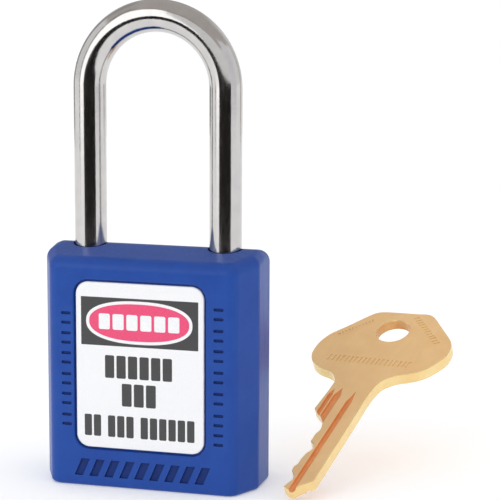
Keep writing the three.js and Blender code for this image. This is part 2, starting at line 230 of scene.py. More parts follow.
M = {
    "blue": plastic("blue_plastic", lin(32, 76, 160), lin(28, 70, 154), coat=0.04, level=0.2),
    # engraved marks: the darker blue is painted shade for the recessed cuts; the rougher, uncoated finish is real
    "blue_mark_painted_shade": plastic("blue_plastic_engraved_painted_shade", lin(22, 52, 122), lin(19, 47, 113), rough=(0.45, 0.6), coat=0.0, level=0.2),
    "cap": plastic("dark_cap", (0.014, 0.014, 0.016), (0.022, 0.022, 0.024), rough=(0.4, 0.55), coat=0.05),
    "chrome": metal("chromed_steel", (0.63, 0.615, 0.60), (0.57, 0.555, 0.545), rough=(0.08, 0.16), streak=(1, 1, 0.06), depth=0.003, wave=0.013, speck=0.006),
    "bright": metal("bright_steel", (0.62, 0.62, 0.63), (0.55, 0.55, 0.57), rough=(0.12, 0.22), streak=(1, 1, 1), scale=4),
    "spring": metal("spring_steel", (0.42, 0.42, 0.44), (0.34, 0.34, 0.36), rough=(0.22, 0.36), streak=(1, 1, 0.4)),
    "lock_brass": metal("lock_brass", (0.66, 0.46, 0.19), (0.58, 0.39, 0.15), rough=(0.2, 0.34), streak=(1, 1, 0.1)),
    "white": ink("white_label", lin(246, 247, 250), rough=0.36),
    "panel": ink("ink_black", lin(60, 60, 61)),
    "red": ink("ink_red", lin(236, 70, 118)),
    "print_white": ink("ink_white", lin(246, 247, 250)),
    "grey": ink("ink_grey", lin(150, 152, 156)),
}


def brass_key(name, a, b, streak_turn, rough=(0.295, 0.325), metallic=0.22):
    k = Nodes(name)
    # brushing runs along the blade: coordinates turned into the key's own frame
    n = k.node("Mapping")
    basis = Matrix((KEY_DIR, KEY_ACROSS, KEY_UP))
    n.inputs["Rotation"].default_value = basis.to_euler()
    n.inputs["Scale"].default_value = (1000,) * 3
    k.link(k.coord.outputs["Object"], n.inputs["Vector"])
    s = k.node("Mapping")
    s.inputs["Rotation"].default_value = (0, 0, streak_turn)
    s.inputs["Scale"].default_value = (0.05, 1, 1)
    k.link(n.outputs["Vector"], s.inputs["Vector"])
    lines = k.noise(3, 1, 0.5, s.outputs["Vector"])
    cloud = k.noise(0.22, 4, 0.6)
    pits = k.noise(3.2, 3, 0.6)
    scuff = k.noise(0.9, 4, 0.6, s.outputs["Vector"])
    base = k.mix(k.span(cloud, 0.35, 0.65, 0, 1), a, b)
    base = k.mix(k.span(pits, 0.45, 0.75, 0, 0.12), base, tuple(c * 0.88 for c in b))
    base = k.mix(k.span(lines, 0.3, 0.7, 0, 0.3), base, tuple(c * 0.88 for c in a))
    k.set(Base_Color=base, Metallic=metallic, Roughness=k.span(scuff, 0.3, 0.7, rough[0], rough[1]))
    k.bump([(scuff, 0.2, 0.002), (cloud, 0.35, 0.01)])
    return k.m


M["key"] = brass_key("key_brass", lin(252, 208, 148), lin(246, 200, 138), 0.0)
# darker orange brass in the milled grooves is painted shade for the recess; it is the same brass as the face
M["key_groove"] = brass_key("key_brass_milled_painted_shade", lin(250, 172, 108), lin(240, 156, 92), 0.0, rough=(0.25, 0.28))
# key side walls: the lighter cream brass is a painted highlight copied from their bright reflection; the higher
# metallic and lower roughness are the real cut finish
M["key_edge"] = brass_key("key_brass_cut_painted_highlight", lin(252, 226, 164), lin(246, 212, 146), 1.57, rough=(0.2, 0.24), metallic=0.6)
# darker orange brass on the hole wall is painted reflection and shade for the inside of the hole
M["key_bore"] = brass_key("key_brass_bore_painted_shade", lin(232, 182, 118), lin(206, 142, 82), 1.57, rough=(0.2, 0.24), metallic=0.5)


# ---------------------------------------------------------------- mesh kit, millimetres in, metres out
def obj_of(bm, name, mats):
    mesh = bpy.data.meshes.new(name)
    bmesh.ops.recalc_face_normals(bm, faces=bm.faces)
    bm.to_mesh(mesh)
    bm.free()
    o = bpy.data.objects.new(name, mesh)
    bpy.context.scene.collection.objects.link(o)
    for m in mats if isinstance(mats, (list, tuple)) else [mats]:
        mesh.materials.append(m)
    return o


def add_rings(bm, rings, closed=True, caps=True, mat=0):
    """Quad strips between rings of points, capped at both ends."""
    vs = [[bm.verts.new(Vector(p) * MM) for p in r] for r in rings]
    n = len(rings[0])
    for a, b in zip(vs, vs[1:]):
        for i in range(n):
            j = (i + 1) % n
            f = bm.faces.new((a[i], a[j], b[j], b[i]))
            f.material_index = mat
    if caps:
        bm.faces.new(list(reversed(vs[0]))).material_index = mat
        bm.faces.new(vs[-1]).material_index = mat
    return vs


def rings_obj(name, rings, mats):
    bm = bmesh.new()
    add_rings(bm, rings)
    return obj_of(bm, name, mats)


def lathe(name, profile, mats, n=64, centre=(0, 0), axis="z"):
    """Turned solid: profile of (radius, height) from one end on the axis to the other."""
    bm = bmesh.new()
    rings = []
    for r, h in profile:
        ring = []
        for k in range(n):
            a = 2 * math.pi * k / n
            c, s = r * math.cos(a), r * math.sin(a)
            if axis == "z":
                ring.append((centre[0] + c, centre[1] + s, h))
            elif axis == "x":
                ring.append((h, centre[0] + c, centre[1] + s))
            else:
                ring.append((centre[0] + s, h, centre[1] + c))
        rings.append(ring)
    add_rings(bm, rings)
    return obj_of(bm, name, mats)


def disc(name, r, z0, z1, mats, centre=(0, 0), n=64, edge=0.0, axis="z"):
    if edge:
        prof = [(r - edge, z0), (r - edge * 0.3, z0 + edge * 0.3), (r, z0 + edge), (r, z1 - edge), (r - edge * 0.3, z1 - edge * 0.3), (r - edge, z1)]
    else:
        prof = [(r, z0), (r, z1)]
    return lathe(name, prof, mats, n, centre, axis)


def block(name, x0, x1, y0, y1, z0, z1, mats):
    ring = lambda z: [(x0, y0, z), (x1, y0, z), (x1, y1, z), (x0, y1, z)]
    return rings_obj(name, [ring(z0), ring(z1)], mats)


def ball(name, r, centre, mats, u=64, v=32):
    bm = bmesh.new()
    bmesh.ops.create_uvsphere(bm, u_segments=u, v_segments=v, radius=r * MM, matrix=Matrix.Translation(Vector(centre) * MM))
    return obj_of(bm, name, mats)


def rounded(w, h, r, cx, cz, n=10):
    pts = []
    for qx, qz, a0 in ((1, -1, -90), (1, 1, 0), (-1, 1, 90), (-1, -1, 180)):
        ox, oz = cx + qx * (w / 2 - r), cz + qz * (h / 2 - r)
        for k in range(n + 1):
            a = math.radians(a0 + 90 * k / n)
            pts.append((ox + r * math.cos(a), oz + r * math.sin(a)))
    return pts


def ellipse(w, h, cx, cz, n=96, power=2.0):
    pts = []
    for k in range(n):
        a = 2 * math.pi * k / n
        c, s = math.cos(a), math.sin(a)
        pts.append((cx + w / 2 * math.copysign(abs(c) ** (2 / power), c), cz + h / 2 * math.copysign(abs(s) ** (2 / power), s)))
    return pts


def join(parts, name=None):
    """Several objects as one mesh."""
    bm = bmesh.new()
    mats = []
    for o in parts:
        slots = []
        for m in o.data.materials:
            if m not in mats:
                mats.append(m)
            slots.append(mats.index(m))
        start = len(bm.faces)
        bm.from_mesh(o.data)
        bm.faces.ensure_lookup_table()
        for f in bm.faces[start:]:
            f.material_index = slots[f.material_index] if slots else 0
    mesh = bpy.data.meshes.new(name or parts[0].name)
    bm.to_mesh(mesh)
    bm.free()
    for m in mats:
        mesh.materials.append(m)
    keep = bpy.data.objects.new((name or parts[0].name) + "_j", mesh)
    bpy.context.scene.collection.objects.link(keep)
    for o in parts:
        bpy.data.objects.remove(o)
    if name:
        keep.name = name
    return keep


def baked(o):
    """The object's mesh with its modifiers applied."""
    dg = bpy.context.evaluated_depsgraph_get()
    mesh = bpy.data.meshes.new_from_object(o.evaluated_get(dg), preserve_all_data_layers=True, depsgraph=dg)
    o.modifiers.clear()
    old = o.data
    o.data = mesh
    if old.users == 0:
        bpy.data.meshes.remove(old)
    return o


def boolean(o, cutters, how="DIFFERENCE"):
    for c in cutters if isinstance(cutters, (list, tuple)) else [cutters]:
        m = o.modifiers.new("cut", "BOOLEAN")
        m.operation, m.object, m.solver = how, c, "EXACT"
        m.material_mode = "TRANSFER"
        baked(o)
        bpy.data.objects.remove(c)
    return o


def bevel_edges(o, choose, width, segments=3, angle=35.0):
    """Rounds the sharp edges that choose(point a, point b) picks; points in millimetres."""
    bm = bmesh.new()
    bm.from_mesh(o.data)
    bmesh.ops.remove_doubles(bm, verts=bm.verts, dist=2e-6)
    bmesh.ops.dissolve_degenerate(bm, edges=bm.edges, dist=2e-6)
    limit = math.radians(angle)
    edges = [
        e for e in bm.edges
        if len(e.link_faces) == 2 and e.calc_face_angle(0) > limit and choose(e.verts[0].co / MM, e.verts[1].co / MM)
    ]
    if edges:
        bmesh.ops.bevel(bm, geom=edges, offset=width * MM, offset_type="OFFSET", segments=segments, profile=0.5, affect="EDGES", clamp_overlap=True, miter_outer="ARC")
    bm.to_mesh(o.data)
    bm.free()
    return o


def smooth(o, angle=32.0, weighted=True):
    for p in o.data.polygons:
        p.use_smooth = True
    o.data.set_sharp_from_angle(angle=math.radians(angle))
    if weighted:
        m = o.modifiers.new("weighted normals", "WEIGHTED_NORMAL")
        m.keep_sharp = True
        m.weight = 80
    return o


def done(o, body, slot, *cad):
    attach(o, body)
    if cad:
        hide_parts(*cad)
    return o


# ---------------------------------------------------------------- body shell
def plan(inset, arc_n=10):
    fl = math.hypot(FACET_IN, deep - band)
    nx, ny = (deep - band) / fl, FACET_IN / fl
    w, d = half - inset, deep - inset
    k = nx * half + ny * band - inset
    side, front = (w, (k - nx * w) / ny), ((k - ny * d) / nx, d)
    r = max(0.4, EDGE_R - 0.4 * inset)

    def arc(corner, n0, n1):
        c = n0[0] * n1[0] + n0[1] * n1[1]
        s = 1 / (1 + c)
        cx, cy = corner[0] - r * s * (n0[0] + n1[0]), corner[1] - r * s * (n0[1] + n1[1])
        out = []
        for i in range(arc_n + 1):
            f = i / arc_n
            x, y = n0[0] * (1 - f) + n1[0] * f, n0[1] * (1 - f) + n1[1] * f
            l = math.hypot(x, y)
            out.append((cx + r * x / l, cy + r * y / l))
        return out

    q = [(w, CREST)] + arc(side, (1, 0), (nx, ny)) + arc(front, (nx, ny), (0, 1))
    return q


def loop(q):
    """The quarter outline mirrored into a full one, counter-clockwise."""
    return q + [(-x, y) for x, y in reversed(q)] + [(-x, -y) for x, y in q] + [(x, -y) for x, y in reversed(q)]


def top_at(y):
    return BODY_H - TOP_SLOPE * max(0, abs(y) - CREST)


def body_solid():
    rings, steps = [], 8
    for k in range(steps + 1):
        a = math.pi / 2 * (1 - k / steps)
        rings.append([(x, y, FOOT_R * (1 - math.sin(a))) for x, y in loop(plan(FOOT_R * (1 - math.cos(a))))])
    top_steps = 12
    for k in range(top_steps + 1):
        a = math.pi / 2 * k / top_steps
        rings.append([(x, y, top_at(y) - TOP_R * (1 - math.sin(a))) for x, y in loop(plan(TOP_R * (1 - math.cos(a))))])
    bm = bmesh.new()
    vs = add_rings(bm, rings, caps=False)
    bm.faces.new(list(reversed(vs[0])))
    top = vs[-1]
    n = len(top) // 4
    q1, q2 = top[:n], list(reversed(top[n:2 * n]))
    q3, q4 = top[2 * n:3 * n], list(reversed(top[3 * n:]))
    for i in range(n - 1):
        bm.faces.new((q1[i], q1[i + 1], q2[i + 1], q2[i]))
        bm.faces.new((q3[i], q3[i + 1], q4[i + 1], q4[i]))
    bm.faces.new((q1[0], q2[0], q3[0], q4[0]))
    return obj_of(bm, "body", M["blue"])


def plate(name, outline, y0, y1, mats, edge=0.0):
    """A plate in the XZ plane. y0 is its shown face; edge rounds it there."""
    cx = sum(p[0] for p in outline) / len(outline)
    cz = sum(p[1] for p in outline) / len(outline)
    w = max(p[0] for p in outline) - min(p[0] for p in outline)
    h = max(p[1] for p in outline) - min(p[1] for p in outline)
    rings = []

    def ring(inset, y):
        fx, fz = (w - 2 * inset) / w, (h - 2 * inset) / h
        return [(cx + (x - cx) * fx, y, cz + (z - cz) * fz) for x, z in outline]

    s = 1 if y1 > y0 else -1
    if edge:
        for k in range(5):
            a = math.pi / 2 * k / 4
            rings.append(ring(edge * (1 - math.sin(a)), y0 + s * edge * (1 - math.cos(a))))
        rings.append(ring(0, y1))
    else:
        rings = [ring(0, y0), ring(0, y1)]
    return rings_obj(name, rings, mats)


body = body_solid()
cut = [
    disc("c1", LEG_R + BORE_GAP, TOE_HOLE, BODY_H + 3, M["blue"], (-LEG_X, 0)),
    disc("c2", LEG_R + BORE_GAP, HEEL_HOLE, BODY_H + 3, M["blue"], (LEG_X, 0)),
    disc("c3", CAVITY_R, -1, 39.4, M["blue"], (0, AXIS_Y), 72),
    block("c4", -BIBLE_HALF - 0.3, BIBLE_HALF + 0.3, AXIS_Y, BIBLE_Y + 0.8, -1, PLUG_Z1 + 0.8, M["blue"]),
    disc("c5", BALL_R + 0.3, -LEG_X, LEG_X, M["blue"], (0, BALL_Z), 40, axis="x"),
    disc("c6", 2.1, 39.0, 41.0, M["blue"], (0, AXIS_Y), 32),
]
for side in (1, -1):
    outline = rounded(LABEL_W + 2 * RECESS_GAP, LABEL_H + 2 * RECESS_GAP, LABEL_R + RECESS_GAP, side * LABEL_X, LABEL_Z)
    cut.append(plate("c7", outline, -side * (deep + 1), -side * (deep - RECESS_DEPTH), M["blue"]))
boolean(body, cut)
bevel_edges(body, lambda a, b: (a.z > 41.2 and b.z > 41.2) or (a.z < 0.02 and b.z < 0.02), 0.28, 4)
bevel_edges(body, lambda a, b: abs(a.y) > deep - 0.01 and abs(b.y) > deep - 0.01, 0.22, 4)


def mark(outline, depth=0.32, draft=0.1, front=-1):
    """Shallow engraved cut with sloped walls on the front face; the cut takes a darker blue, painted shade for the
    recess.
    """
    cx = sum(p[0] for p in outline) / len(outline)
    cz = sum(p[1] for p in outline) / len(outline)
    w = max(p[0] for p in outline) - min(p[0] for p in outline)
    h = max(p[1] for p in outline) - min(p[1] for p in outline)
    rings = []
    for grow, y in ((draft, -deep - 0.25), (draft * 0.25, -deep + depth * 0.45), (-draft * 0.3, -deep + depth * 0.85), (-draft, -deep + depth)):
        fx, fz = (w + 2 * grow) / w, (h + 2 * grow) / h
        rings.append([(cx + (x - cx) * fx, y * -front, cz + (z - cz) * fz) for x, z in outline])
    return rings_obj("mark", rings, M["blue_mark_painted_shade"])


marks = []
for z in (30.5, 26.9, 23.3, 19.5, 15.9, 12.1):
    for dz in (-0.85, 0.85):
        marks.append(mark(rounded(1.7, 0.42, 0.2, -14.0, z + dz, 4)))
for z in (32.55, 28.8, 25.2, 21.4, 17.6, 13.7, 10.2):
    for dz in (-0.85, 0.85):
        marks.append(mark(rounded(1.7, 0.42, 0.2, 14.1, z + dz, 4)))
for i in range(9):
    x = -11.2 + i * 2.8
    lean = 0.55
    marks.append(mark([(x - 0.85 - lean, 2.0), (x + 0.65 - lean, 2.0), (x + 0.85 + lean, 5.0), (x - 0.65 + lean, 5.0)], depth=0.38))
boolean(body, [join(marks, "marks")])
smooth(body, 30)
body.name = "lock_shell"
done(body, "lock_body", "blue_plastic", "body_shell")


# ---------------------------------------------------------------- labels and their print
def print_on(side, items, name):
    """Thin ink shapes standing 0.02 to 0.05 mm proud of a label; items are (outline, material, level)."""
    by = {}
    for outline, m, level in items:
        y = side * (LABEL_FRONT - 0.012 - 0.012 * level)
        part = plate("ink", [(side * x, z) for x, z in outline], y, side * (LABEL_FRONT + 0.05), M[m])
        by.setdefault(m, []).append(part)
    for m, parts in by.items():
        done(smooth(join(parts, f"{name}_{m}"), 30, False), "lock_body", "white_label")


for side, tag in ((1, "front"), (-1, "back")):
    lab = plate(tag + "_label_plate", rounded(LABEL_W, LABEL_H, LABEL_R, side * LABEL_X, LABEL_Z, 16), side * LABEL_FRONT, side * LABEL_REAR, M["white"], edge=0.22)
    done(smooth(lab, 30), "lock_body", "white_label", tag + "_label")

X0, X1 = -11.2, 10.4
items = [(rounded(X1 - X0, 8.65, 0.12, (X0 + X1) / 2, 30.17, 3), "panel", 0)]
items.append((ellipse(19.6, 7.7, -0.45, 30.2, power=2.35), "print_white", 1))
items.append((ellipse(18.45, 6.65, -0.45, 30.2, power=2.3), "red", 2))
n = 6
for i in range(n):
    items.append((rounded(2.05, 2.8, 0.3, -6.85 + 2.56 * i, 30.2, 4), "print_white", 3))


def words(counts, x0, x1, z, h, gap=0.34, space=1.15):
    total = sum(counts)
    inner = total - len(counts)
    w = (x1 - x0 - inner * gap - (len(counts) - 1) * (space)) / total
    x = x0
    for c in counts:
        for _ in range(c):
            items.append((rounded(w, h, 0.26, x + w / 2, z, 4), "panel", 0))
            x += w + gap
        x += space - gap


words([6], -6.8, 5.6, 22.1, 4.1, gap=0.42)
words([3], -3.7, 2.6, 17.1, 4.1, gap=0.42)
words([2, 3, 6], -10.7, 9.7, 11.3, 3.9, gap=0.36, space=1.3)
print_on(1, items, "front_print")
back = [(rounded(20.4, 3.4, 0.3, -0.4, 33.6, 4), "panel", 0)]
for z in (29.0, 24.6, 20.2, 15.8):
    back.append((rounded(4.6, 0.75, 0.2, -8.2, z + 1.4, 3), "grey", 0))
    back.append((rounded(20.4, 0.2, 0.09, -0.4, z, 3), "panel", 0))
back.append((rounded(13.0, 1.0, 0.3, -0.4, 11.4, 4), "grey", 0))
back.append((rounded(9.0, 1.0, 0.3, -0.4, 9.4, 4), "grey", 0))
print_on(-1, back, "back_print")


# ---------------------------------------------------------------- shackle
def tube(name, centres, axes, radii, mats, sides, flat=Vector((0, 1, 0))):
    bm = bmesh.new()
    rings = []
    for c, t, r in zip(centres, axes, radii):
        t = Vector(t).normalized()
        u = flat - t * flat.dot(t)
        u.normalize()
        v = t.cross(u)
        rings.append([Vector(c) + (u * math.cos(2 * math.pi * k / sides) + v * math.sin(2 * math.pi * k / sides)) * r for k in range(sides)])
    add_rings(bm, rings)
    return obj_of(bm, name, mats)


bend_z = SHACKLE_TOP - LEG_R - LEG_X
cs, ts, rs = [], [], []


def push(c, t, r=LEG_R):
    cs.append(c), ts.append(t), rs.append(r)


for k in range(6):
    a = math.pi / 2 * k / 5
    push((-LEG_X, 0, TOE_END + 0.8 * (1 - math.cos(a))), (0, 0, 1), LEG_R - 0.8 * (1 - math.sin(a)))
for k in range(1, 10):
    push((-LEG_X, 0, TOE_END + 0.8 + (bend_z - TOE_END - 0.8) * k / 10), (0, 0, 1))
for k in range(73):
    a = math.pi * (1 - k / 72)
    push((LEG_X * math.cos(a), 0, bend_z + LEG_X * math.sin(a)), (math.sin(a), 0, -math.cos(a)))
for k in range(1, 10):
    push((LEG_X, 0, bend_z + (HEEL_END + 0.6 - bend_z) * k / 10), (0, 0, -1))
for k in range(6):
    a = math.pi / 2 * k / 5
    push((LEG_X, 0, HEEL_END + 0.6 * (1 - math.sin(a))), (0, 0, -1), LEG_R - 0.6 * (1 - math.cos(a)))
shackle = tube("shackle_bar", cs, ts, rs, M["chrome"], 72)
leave = (BALL_X + BALL_R - (LEG_X - LEG_R) + 0.35) / BALL_TRAVEL
for s in (-1, 1):
    a = Vector((s * BALL_X, 0, BALL_Z))
    b = Vector((s * (BALL_X - BALL_TRAVEL * leave), 0, BALL_Z - SHACKLE_LIFT * leave))
    bm = bmesh.new()
    for p in (a, b):
        bmesh.ops.create_icosphere(bm, subdivisions=4, radius=(BALL_R + 0.25) * MM, matrix=Matrix.Translation(p * MM))
    res = bmesh.ops.convex_hull(bm, input=bm.verts)
    loose = list({v for v in res["geom_interior"] if isinstance(v, bmesh.types.BMVert)} | {v for v in res["geom_unused"] if isinstance(v, bmesh.types.BMVert)})
    bmesh.ops.delete(bm, geom=loose, context="VERTS")
    boolean(shackle, obj_of(bm, "notch", M["bright"]))
smooth(shackle, 30)
done(shackle, "shackle_body", "chromed_steel", "shackle")


# ---------------------------------------------------------------- inner pieces
def coil(name, z0, z1, coil_r, wire_r, turns, mats, place, per=28, sides=12):
    pts, tans = [], []
    n = int(turns * per)
    rise = z1 - z0 - 2 * wire_r
    for i in range(n + 1):
        a = 2 * math.pi * i / per
        pts.append(place(Vector((coil_r * math.cos(a), coil_r * math.sin(a), z0 + wire_r + rise * i / n))))
        d = Vector((-coil_r * math.sin(a), coil_r * math.cos(a), rise / (2 * math.pi * turns)))
        tans.append(place(d) - place(Vector((0, 0, 0))))
    flat = place(Vector((0, 0, 1))) - place(Vector((0, 0, 0)))
    return tube(name, pts, tans, [wire_r] * len(pts), mats, sides, flat)


follower = lathe("spring_follower_fine", [(2.4, HEEL_END - 2.4), (2.75, HEEL_END - 2.3), (2.9, HEEL_END - 2.0), (2.9, HEEL_END - 0.6), (2.75, HEEL_END - 0.4), (2.4, HEEL_END - 0.3)], M["bright"], 48, (LEG_X, 0))
done(smooth(follower), "shackle_body", "bright_steel", "spring_follower")
spring = coil("shackle_spring_fine", HEEL_HOLE + 0.3, HEEL_END - 2.6, 2.25, 0.36, 7, M["spring"], lambda v: v + Vector((LEG_X, 0, 0)))
done(smooth(spring, 60, False), "lock_body", "spring_steel", "shackle_spring")
for s, tag in ((-1, "left"), (1, "right")):
    done(smooth(ball(f"locking_ball_{tag}", BALL_R, (s * BALL_X, 0, BALL_Z), M["bright"]), 60, False), f"ball_{tag}_body", "bright_steel", f"ball_{tag}")

nose = 0.7
plug = lathe("plug_core", [(NOSE_R - 0.35, nose), (NOSE_R - 0.1, nose + 0.1), (NOSE_R, nose + 0.35), (NOSE_R, PLUG_Z0), (PLUG_R, PLUG_Z0), (PLUG_R, PLUG_Z1), (3.2, PLUG_Z1), (3.2, 26.5), (3.9, 26.5), (3.9, 27.2)], M["lock_brass"], 72, (0, AXIS_Y))
boolean(plug, block("tongue", -2.3, 2.3, AXIS_Y - 0.8, AXIS_Y + 0.8, 26.9, 29.4, M["lock_brass"]), "UNION")
way = [(-1.15, -4.3), (1.15, -4.3), (1.15, -0.75), (0.6, -0.6), (0.6, 0.2), (1.15, 0.35), (1.15, 2.4), (0.6, 2.55), (0.6, 3.25), (1.15, 3.4), (1.15, 4.3), (-1.15, 4.3)]
boolean(plug, rings_obj("way", [[(x, y + AXIS_Y, z) for x, y in way] for z in (-1, 23.4)], M["lock_brass"]))
for z in PIN_Z:
    boolean(plug, disc("chamber", CHAMBER_R, AXIS_Y + 0.4, AXIS_Y + PLUG_R + 1, M["lock_brass"], (0, z), 32, axis="y"))
bevel_edges(plug, lambda a, b: a.z < nose + 0.02 and b.z < nose + 0.02, 0.1, 2)
done(smooth(plug), "plug_body", "lock_brass", "plug")

cap = disc("cap", HOUSING_R, 0.5, 1.6, M["cap"], (0, AXIS_Y), 72)
boolean(cap, block("tab", -BIBLE_HALF, BIBLE_HALF, AXIS_Y + 4, BIBLE_Y + 0.5, 0.5, 1.6, M["cap"]), "UNION")
boolean(cap, disc("hole", NOSE_R + 0.2, -1, 3, M["cap"], (0, AXIS_Y), 72))
bevel_edges(cap, lambda a, b: a.z < 0.52 and b.z < 0.52, 0.14, 3)
cap.name = "base_cap_fine"
done(smooth(cap), "lock_body", "dark_cap", "base_cap")

house = disc("cylinder_housing_fine", HOUSING_R, PLUG_Z0, PLUG_Z1, M["lock_brass"], (0, AXIS_Y), 72, 0.2)
boolean(house, block("bible", -BIBLE_HALF, BIBLE_HALF, AXIS_Y + 3, BIBLE_Y, PLUG_Z0, PLUG_Z1, M["lock_brass"]), "UNION")
boolean(house, disc("bore", PLUG_R + 0.2, 0, 30, M["lock_brass"], (0, AXIS_Y), 72))
for z in PIN_Z:
    boolean(house, disc("chamber", CHAMBER_R, AXIS_Y, BIBLE_Y + 2, M["lock_brass"], (0, z), 32, axis="y"))
done(smooth(house), "lock_body", "lock_brass", "cylinder_housing")

PIN_REST = [2.2, 1.4, 2.6, 1.0, 2.0, 1.6]
DRIVER = 5.55
for i, z in enumerate(PIN_Z):
    y0, y1 = AXIS_Y + PIN_REST[i], AXIS_Y + 4.72
    prof = [(0.12, y0), (0.45, y0 + 0.12), (0.85, y0 + 0.4), (PIN_R, y0 + 0.62), (PIN_R, y1 - 0.2), (PIN_R - 0.07, y1 - 0.07), (PIN_R - 0.25, y1)]
    pin = lathe(f"bottom_pin_{i + 1}_fine", prof, M["lock_brass"], 32, (0, z), "y")
    done(smooth(pin), "plug_body", "lock_brass", f"bottom_pin_{i + 1}")
    y0, y1 = AXIS_Y + 5.35, DRIVER
    prof = [(PIN_R - 0.25, y0), (PIN_R - 0.07, y0 + 0.07), (PIN_R, y0 + 0.2), (PIN_R, y1 - 0.3), (PIN_R - 0.2, y1 - 0.1), (PIN_R - 0.4, y1)]
    pin = lathe(f"driver_pin_{i + 1}_fine", prof, M["bright"], 32, (0, z), "y")
    done(smooth(pin), "lock_body", "bright_steel", f"driver_pin_{i + 1}")
    turned = lambda v, z=z: Vector((v.x, v.z + AXIS_Y, z - v.y))
    sp = coil(f"pin_spring_{i + 1}_fine", DRIVER - AXIS_Y + 0.15, BIBLE_Y - AXIS_Y - 0.1, 0.7, 0.15, 2, M["spring"], turned, 24, 10)
    done(smooth(sp, 60, False), "lock_body", "spring_steel", f"pin_spring_{i + 1}")

cover = block("chamber_cover_fine", -BIBLE_HALF, BIBLE_HALF, BIBLE_Y + 0.12, BIBLE_Y + 0.5, PLUG_Z0 + 0.3, PLUG_Z1 - 0.3, M["lock_brass"])
bevel_edges(cover, lambda a, b: True, 0.08, 2)
done(smooth(cover), "lock_body", "lock_brass", "chamber_cover")

clip = disc("plug_clip_fine", 4.9, 25.3, 26.2, M["spring"], (0, AXIS_Y), 64, 0.12)
boolean(clip, disc("hole", 3.45, 25, 27, M["spring"], (0, AXIS_Y), 48))
boolean(clip, block("gap", -1.6, 1.6, AXIS_Y - 8, AXIS_Y, 25, 27, M["spring"]))
done(smooth(clip), "plug_body", "spring_steel", "plug_clip")

CAM_R, CAM_Z0, CAM_Z1 = 5.95, 27.7, 38.0
lobe = []
for k in range(144):
    a = 2 * math.pi * k / 144
    dx, dy = math.cos(a), math.sin(a)
    r = CAM_R
    for i in range(46):
        turn, x = -math.radians(2 * i), BALL_X - BALL_TRAVEL * i / 45
        for s in (-1, 1):
            cx, cy = s * x * math.cos(turn) + AXIS_Y * math.sin(turn), s * x * math.sin(turn) - AXIS_Y * math.cos(turn)
            reach = cx * dx + cy * dy
            inside = reach * reach - cx * cx - cy * cy + (BALL_R + 0.3) ** 2
            if reach > 0 and inside > 0:
                r = min(r, reach - math.sqrt(inside))
    lobe.append((r * dx, r * dy + AXIS_Y))
cam = disc("cam_fine", CAM_R, CAM_Z0, BALL_Z - BALL_R - 0.4, M["lock_brass"], (0, AXIS_Y), 72, 0.15)
boolean(cam, rings_obj("lobe", [[(x, y, z) for x, y in lobe] for z in (CAM_Z0 + 1, CAM_Z1)], M["lock_brass"]), "UNION")
boolean(cam, disc("pivot", 1.8, CAM_Z1 - 1, 40.4, M["lock_brass"], (0, AXIS_Y), 40, 0.2), "UNION")
boolean(cam, block("slot", -2.6, 2.6, AXIS_Y - 1.05, AXIS_Y + 1.05, CAM_Z0 - 1, CAM_Z0 + 2.2, M["lock_brass"]))
done(smooth(cam), "plug_body", "lock_brass", "cam")


# ---------------------------------------------------------------- key
BOW = [
    (-21.8, 3.3), (-24.1, 3.22), (-26.1, 3.2), (-28.1, 3.35), (-29.8, 3.6), (-31.4, 4.3), (-32.9, 6.0), (-33.7, 7.7), (-34.6, 9.4), (-35.8, 10.8),
    (-37.2, 11.8), (-38.8, 12.7), (-40.4, 13.2), (-42.2, 13.2), (-43.9, 12.8), (-45.3, 11.9), (-46.9, 10.4), (-48.9, 8.5), (-50.6, 6.9), (-51.5, 5.7),
    (-51.7, 4.6), (-51.5, 2.9), (-51.3, 0.0), (-51.0, -3.5), (-50.5, -5.3), (-49.4, -6.5), (-47.6, -7.9), (-45.4, -9.6), (-43.5, -11.2), (-42.0, -12.2),
    (-39.7, -12.95), (-37.3, -13.05), (-35.7, -12.7), (-34.2, -11.8), (-33.4, -10.9), (-32.7, -9.7), (-32.3, -8.5), (-32.0, -7.4), (-31.5, -6.4),
    (-30.7, -5.5), (-29.9, -4.95), (-29.3, -4.8),
]
BITTING = [
    (-26.5, -4.85), (-21.3, -5.2), (-20.6, -4.4), (-19.6, -3.1), (-18.3, -2.1), (-16.9, -1.6), (-15.9, -1.5), (-14.2, -2.1), (-12.9, -2.0),
    (-12.3, -1.2), (-11.9, -0.7), (-11.2, -0.55), (-10.4, -0.8), (-9.5, -1.3), (-7.9, -1.5), (-6.6, -1.5), (-5.8, -1.95), (-4.7, -1.7), (-3.8, -0.85), (-2.6, -0.6), (-1.7, -1.0),
]
TIP = [(-0.7, -1.4), (-0.05, -0.35), (0, 0.55), (-0.7, 1.0), (-1.5, 1.6), (-2.4, 2.7), (-3.0, 3.4), (-21.8, 3.3)]


def spline(points, step=0.45):
    """Catmull-Rom line through the points."""
    p = [Vector((*q, 0)) for q in points]
    p = [2 * p[0] - p[1], *p, 2 * p[-1] - p[-2]]
    out = []
    for a, b, c, d in zip(p, p[1:], p[2:], p[3:]):
        n = max(2, round((c - b).length / step))
        for i in range(n):
            t = i / n
            q = 0.5 * (2 * b + (c - a) * t + (2 * a - 5 * b + 4 * c - d) * t * t + (3 * b - a - 3 * c + d) * t ** 3)
            out.append((q.x, q.y))
    out.append(tuple(points[-1]))
    return out


def soften(points, r=0.18):
    """Small straight cuts over the corners of an open line."""
    out = [points[0]]
    for a, b, c in zip(points, points[1:], points[2:]):
        a, b, c = Vector(a), Vector(b), Vector(c)
        for q in (a, c):
            d = q - b
            out.append(tuple(b + d.normalized() * min(r, d.length * 0.35)))
    out.append(points[-1])
    return out


def to_key(u, v, z):
    return KEY_TIP + (KEY_DIR * u + KEY_ACROSS * v + KEY_UP * z)


